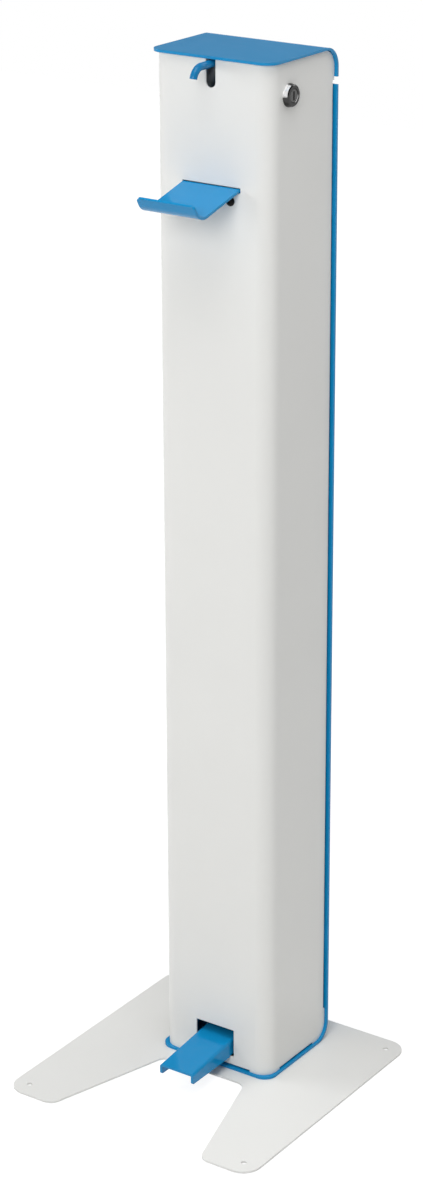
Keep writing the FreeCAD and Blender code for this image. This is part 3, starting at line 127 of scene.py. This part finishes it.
def emboss(tree, shader, height, strength, edge=0.0):
    """Bump from the height, over edges that are rounded by the coat where edge says so."""
    node = tree.nodes.new("ShaderNodeBump")
    if edge:
        rounded = tree.nodes.new("ShaderNodeBevel")
        rounded.samples = EDGE_RAYS
        rounded.inputs["Radius"].default_value = edge
        tree.links.new(rounded.outputs["Normal"], node.inputs["Normal"])
    node.inputs["Strength"].default_value = strength
    node.inputs["Distance"].default_value = BUMP_HEIGHT
    tree.links.new(height, node.inputs["Height"])
    tree.links.new(node.outputs["Normal"], shader.inputs["Normal"])


def powder_coat(name, colour, gloss_level, rough_low, rough_high):
    """Baked powder coat: faint orange peel, and small drifts of tone and gloss."""
    material, tree, shader = new_material(name)
    drift = noise(tree, COAT_DRIFT, detail=4.0)
    tree.links.new(tint(tree, drift, colour, 0.975, 1.02), shader.inputs["Base Color"])
    satin = spread(tree, noise(tree, COAT_SATIN), rough_low, rough_high)
    tree.links.new(satin, shader.inputs["Roughness"])
    shader.inputs["Specular IOR Level"].default_value = gloss_level
    emboss(tree, shader, noise(tree, ORANGE_PEEL, detail=2.0), 0.12, COAT_EDGE)
    return material


def metal(name, colour, rough_low, rough_high, grain_scale, grain_depth):
    """Metal with a fine grain."""
    material, tree, shader = new_material(name)
    grain = noise(tree, grain_scale, detail=GRAIN_DETAIL)
    tree.links.new(tint(tree, grain, colour, 0.85, 1.08), shader.inputs["Base Color"])
    tree.links.new(spread(tree, grain, rough_low, rough_high), shader.inputs["Roughness"])
    shader.inputs["Metallic"].default_value = 1.0
    emboss(tree, shader, grain, grain_depth)
    return material


def collar_with_painted_highlight(name, dark, bright):
    """Polished metal with a painted highlight where it faces up and forwards, and painted shade where
    it faces aside or down.
    """
    material, tree, shader = new_material(name)
    facing = tree.nodes.new("ShaderNodeVectorMath")
    facing.operation = "DOT_PRODUCT"
    facing.inputs[1].default_value = COLLAR_PAINTED_HIGHLIGHT_WAY
    tree.links.new(tree.nodes.new("ShaderNodeTexCoord").outputs["Normal"], facing.inputs[0])
    turned = tree.nodes.new("ShaderNodeMapRange")
    turned.inputs["From Min"].default_value = COLLAR_PAINTED_SHADE_COSINE
    turned.inputs["From Max"].default_value = COLLAR_PAINTED_HIGHLIGHT_COSINE
    tree.links.new(facing.outputs["Value"], turned.inputs["Value"])
    # Painted highlight and shade: the base colour runs from the painted shade to the painted highlight.
    tone = tree.nodes.new("ShaderNodeMix")
    tone.data_type = "RGBA"
    tone.inputs["A"].default_value = shade(dark, 1.0)
    tone.inputs["B"].default_value = shade(bright, 1.0)
    tree.links.new(turned.outputs["Result"], tone.inputs["Factor"])
    tree.links.new(tone.outputs["Result"], shader.inputs["Base Color"])
    # Less metallic under the painted highlight, so that lamp light whitens it further.
    painted_highlight_metallic = tree.nodes.new("ShaderNodeMapRange")
    painted_highlight_metallic.inputs["To Min"].default_value = 1.0
    painted_highlight_metallic.inputs["To Max"].default_value = COLLAR_PAINTED_HIGHLIGHT_METALLIC
    tree.links.new(turned.outputs["Result"], painted_highlight_metallic.inputs["Value"])
    tree.links.new(painted_highlight_metallic.outputs["Result"], shader.inputs["Metallic"])
    grain = noise(tree, COLLAR_GRAIN, detail=GRAIN_DETAIL)
    tree.links.new(spread(tree, grain, 0.10, 0.20), shader.inputs["Roughness"])
    emboss(tree, shader, grain, 0.03)
    return material


def plastic(name, colour, rough, peel_scale, translucent=0.0, gloss_level=0.5):
    """Moulded plastic or rubber with a slightly uneven skin."""
    material, tree, shader = new_material(name)
    drift = noise(tree, PLASTIC_DRIFT)
    tree.links.new(tint(tree, drift, colour, 0.96, 1.04), shader.inputs["Base Color"])
    tree.links.new(spread(tree, drift, rough - 0.04, rough + 0.06), shader.inputs["Roughness"])
    shader.inputs["Specular IOR Level"].default_value = gloss_level
    shader.inputs["Subsurface Weight"].default_value = translucent
    shader.inputs["Subsurface Scale"].default_value = SKIN_DEPTH
    emboss(tree, shader, noise(tree, peel_scale), 0.08)
    return material


materials = {
    "powder_white": powder_coat("powder_white", WHITE_COAT, 0.3, 0.30, 0.38),
    "powder_blue": powder_coat("powder_blue", BLUE_COAT, 0.26, 0.10, 0.16),
    "nozzle_blue": plastic("nozzle_blue", BLUE_PLASTIC, 0.25, 700.0, gloss_level=0.3),
    "zinc_steel": metal("zinc_steel", ZINC, 0.28, 0.42, 350.0, 0.1),
    # Chrome collar with a painted highlight and painted shade.
    "lock_chrome": collar_with_painted_highlight("lock_chrome", CHROME_PAINTED_SHADE, CHROME_PAINTED_HIGHLIGHT),
    # Lock face: metal grain over a painted dark reflection.
    "lock_face": metal("lock_face", LOCK_FACE_PAINTED_SHADE, 0.15, 0.45, 900.0, 0.6),
    "black_steel": plastic("black_steel", BLACK_OXIDE, 0.5, 900.0, gloss_level=0.12),
    "bottle_plastic": plastic("bottle_plastic", BOTTLE_WHITE, 0.4, 250.0, translucent=0.3),
    "pump_plastic": plastic("pump_plastic", PUMP_WHITE, 0.35, 400.0, translucent=0.1),
    "nylon_black": plastic("nylon_black", NYLON_BLACK, 0.45, 500.0),
    "buffer_rubber": plastic("buffer_rubber", RUBBER_BLACK, 0.7, 600.0),
}

finish_of = {node: finish for finish, nodes in FINISHES.items() for node in nodes}
for name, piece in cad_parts.items():
    material = materials[finish_of.get(name, "zinc_steel")]
    for slot in piece.material_slots:
        slot.material = material


def aim(thing, place, target):
    """Puts a lamp or camera at a place, looking at the target."""
    thing.location = place
    thing.rotation_euler = (Vector(target) - Vector(place)).to_track_quat("-Z", "Y").to_euler()


def softbox(name, place, target, width, height, level):
    """Area lamp whose level is the light that a surface at the target, facing it, gets."""
    data = bpy.data.lights.new(name, "AREA")
    data.shape = "RECTANGLE"
    data.size = width
    data.size_y = height
    distance = (Vector(target) - Vector(place)).length
    data.energy = level * math.pi * math.pi * distance * distance
    lamp = bpy.data.objects.new(name, data)
    aim(lamp, place, target)
    bpy.context.scene.collection.objects.link(lamp)


# Softboxes: place, target, width, height, and level at the target.
LAMPS = {
    "camera_softbox": ((0.7, -2.05, 1.75), (0.0, 0.0, 0.2), 1.0, 0.8, 0.325),
    "left_softbox": ((-1.3, -0.5, 1.15), (-0.1, -0.1, 0.0), 0.8, 0.5, 0.255),
    "top_softbox": ((0.45, -0.45, 3.0), (0.0, 0.0, 0.5), 1.6, 1.6, 0.445),
    "rear_softbox": ((0.5, 1.4, 1.8), (0.1, 0.1, 0.0), 1.0, 0.8, 0.125),
}

for lamp_name, settings in LAMPS.items():
    softbox(lamp_name, *settings)

# Light of the room, and what gloss and glass see of its ceiling, where a strength of 1 is white.
AMBIENT = 0.29
CEILING = 0.19
WHITE_BELOW = 0.02
CEILING_ABOVE = 0.16


def backdrop_factor(tree):
    """1 for the rays that show the background: the camera's, and those in gloss and glass."""
    path = tree.nodes.new("ShaderNodeLightPath")
    total = path.outputs["Is Camera Ray"]
    for kind in ("Is Glossy Ray", "Is Transmission Ray"):
        add = tree.nodes.new("ShaderNodeMath")
        add.operation = "ADD"
        add.use_clamp = True
        tree.links.new(total, add.inputs[0])
        tree.links.new(path.outputs[kind], add.inputs[1])
        total = add.outputs[0]
    return total


def build_world():
    world = bpy.data.worlds.new("studio")
    bpy.context.scene.world = world
    world.use_nodes = True
    tree = world.node_tree
    room = tree.nodes["Background"]
    room.inputs["Color"].default_value = (1.0, 1.0, 1.0, 1.0)
    room.inputs["Strength"].default_value = AMBIENT
    white = tree.nodes.new("ShaderNodeBackground")
    white.inputs["Color"].default_value = (1.0, 1.0, 1.0, 1.0)
    # white up to just over the horizon, then grey towards the ceiling
    direction = tree.nodes.new("ShaderNodeSeparateXYZ")
    tree.links.new(tree.nodes.new("ShaderNodeTexCoord").outputs["Generated"], direction.inputs[0])
    ceiling = tree.nodes.new("ShaderNodeMapRange")
    ceiling.inputs["From Min"].default_value = WHITE_BELOW
    ceiling.inputs["From Max"].default_value = CEILING_ABOVE
    ceiling.inputs["To Min"].default_value = 1.0
    ceiling.inputs["To Max"].default_value = CEILING
    tree.links.new(direction.outputs["Z"], ceiling.inputs["Value"])
    tree.links.new(ceiling.outputs["Result"], white.inputs["Strength"])
    mix = tree.nodes.new("ShaderNodeMixShader")
    tree.links.new(backdrop_factor(tree), mix.inputs[0])
    tree.links.new(room.outputs[0], mix.inputs[1])
    tree.links.new(white.outputs[0], mix.inputs[2])
    tree.links.new(mix.outputs[0], tree.nodes["World Output"].inputs["Surface"])


# Floor: half its width, how far it lies under the object, its paint, what takes the shadow, and its
# glow, which is full from FLOOR_GLOW_FAR out.
FLOOR_HALF = 4.0
FLOOR_DROP = 0.0005
FLOOR_PAINT = (0.78, 0.78, 0.77)
FLOOR_SHADOW = (0.25, 0.25, 0.25)
FLOOR_GLOW_NEAR = 0.25
FLOOR_GLOW_FAR = 1.2
FLOOR_GLOW_LEAST = 0.88


def build_floor():
    """Pale floor that shows white, with only the darkest of the object's shadow on it."""
    corners = [
        (x * FLOOR_HALF, y * FLOOR_HALF, -FLOOR_DROP)
        for x, y in ((-1, -1), (1, -1), (1, 1), (-1, 1))
    ]
    mesh = bpy.data.meshes.new("studio_floor")
    mesh.from_pydata(corners, [], [(0, 1, 2, 3)])
    floor = bpy.data.objects.new("studio_floor", mesh)
    bpy.context.scene.collection.objects.link(floor)
    material = bpy.data.materials.new("pale_floor")
    material.use_nodes = True
    tree = material.node_tree
    tree.nodes.remove(tree.nodes["Principled BSDF"])
    paint = tree.nodes.new("ShaderNodeBsdfDiffuse")
    paint.inputs["Color"].default_value = shade(FLOOR_PAINT, 1.0)
    catcher = tree.nodes.new("ShaderNodeBsdfDiffuse")
    catcher.inputs["Color"].default_value = shade(FLOOR_SHADOW, 1.0)
    glow = tree.nodes.new("ShaderNodeEmission")
    distance = tree.nodes.new("ShaderNodeVectorMath")
    distance.operation = "LENGTH"
    tree.links.new(object_points(tree), distance.inputs[0])
    fade = tree.nodes.new("ShaderNodeMapRange")
    fade.inputs["From Min"].default_value = FLOOR_GLOW_NEAR
    fade.inputs["From Max"].default_value = FLOOR_GLOW_FAR
    fade.inputs["To Min"].default_value = FLOOR_GLOW_LEAST
    fade.inputs["To Max"].default_value = 1.0
    tree.links.new(distance.outputs["Value"], fade.inputs["Value"])
    tree.links.new(fade.outputs["Result"], glow.inputs["Strength"])
    shown = tree.nodes.new("ShaderNodeAddShader")
    tree.links.new(catcher.outputs[0], shown.inputs[0])
    tree.links.new(glow.outputs[0], shown.inputs[1])
    mix = tree.nodes.new("ShaderNodeMixShader")
    tree.links.new(backdrop_factor(tree), mix.inputs[0])
    tree.links.new(paint.outputs[0], mix.inputs[1])
    tree.links.new(shown.outputs[0], mix.inputs[2])
    tree.links.new(mix.outputs[0], tree.nodes["Material Output"].inputs["Surface"])
    mesh.materials.append(material)


build_world()
build_floor()

# Camera, worked out from the straight edges in the photograph. The photograph's size, the focal
# length and the picture's centre are in its pixels, and the sensor is in millimetres.
IMAGE_WIDTH = 423
IMAGE_HEIGHT = 1200
SENSOR = 36.0
FAR_CLIP = 50.0
CAMERA_PLACE = (1.5202, -2.1809, 1.5606)
CAMERA_AZIMUTH = math.radians(34.02)
CAMERA_PITCH = math.radians(21.23)
FOCAL_PIXELS = 2936.7
CENTRE_X = 248.2
CENTRE_Y = 592.9

camera_data = bpy.data.cameras.new("camera")
camera_data.sensor_width = SENSOR
camera_data.lens = FOCAL_PIXELS / IMAGE_HEIGHT * SENSOR
camera_data.shift_x = (IMAGE_WIDTH / 2 - CENTRE_X) / IMAGE_HEIGHT
camera_data.shift_y = (CENTRE_Y - IMAGE_HEIGHT / 2) / IMAGE_HEIGHT
camera_data.clip_end = FAR_CLIP
camera = bpy.data.objects.new("camera", camera_data)
camera.location = CAMERA_PLACE
camera.rotation_euler = (math.pi / 2 - CAMERA_PITCH, 0.0, CAMERA_AZIMUTH)
bpy.context.scene.collection.objects.link(camera)
bpy.context.scene.camera = camera
bpy.context.scene.view_settings.view_transform = "Standard"
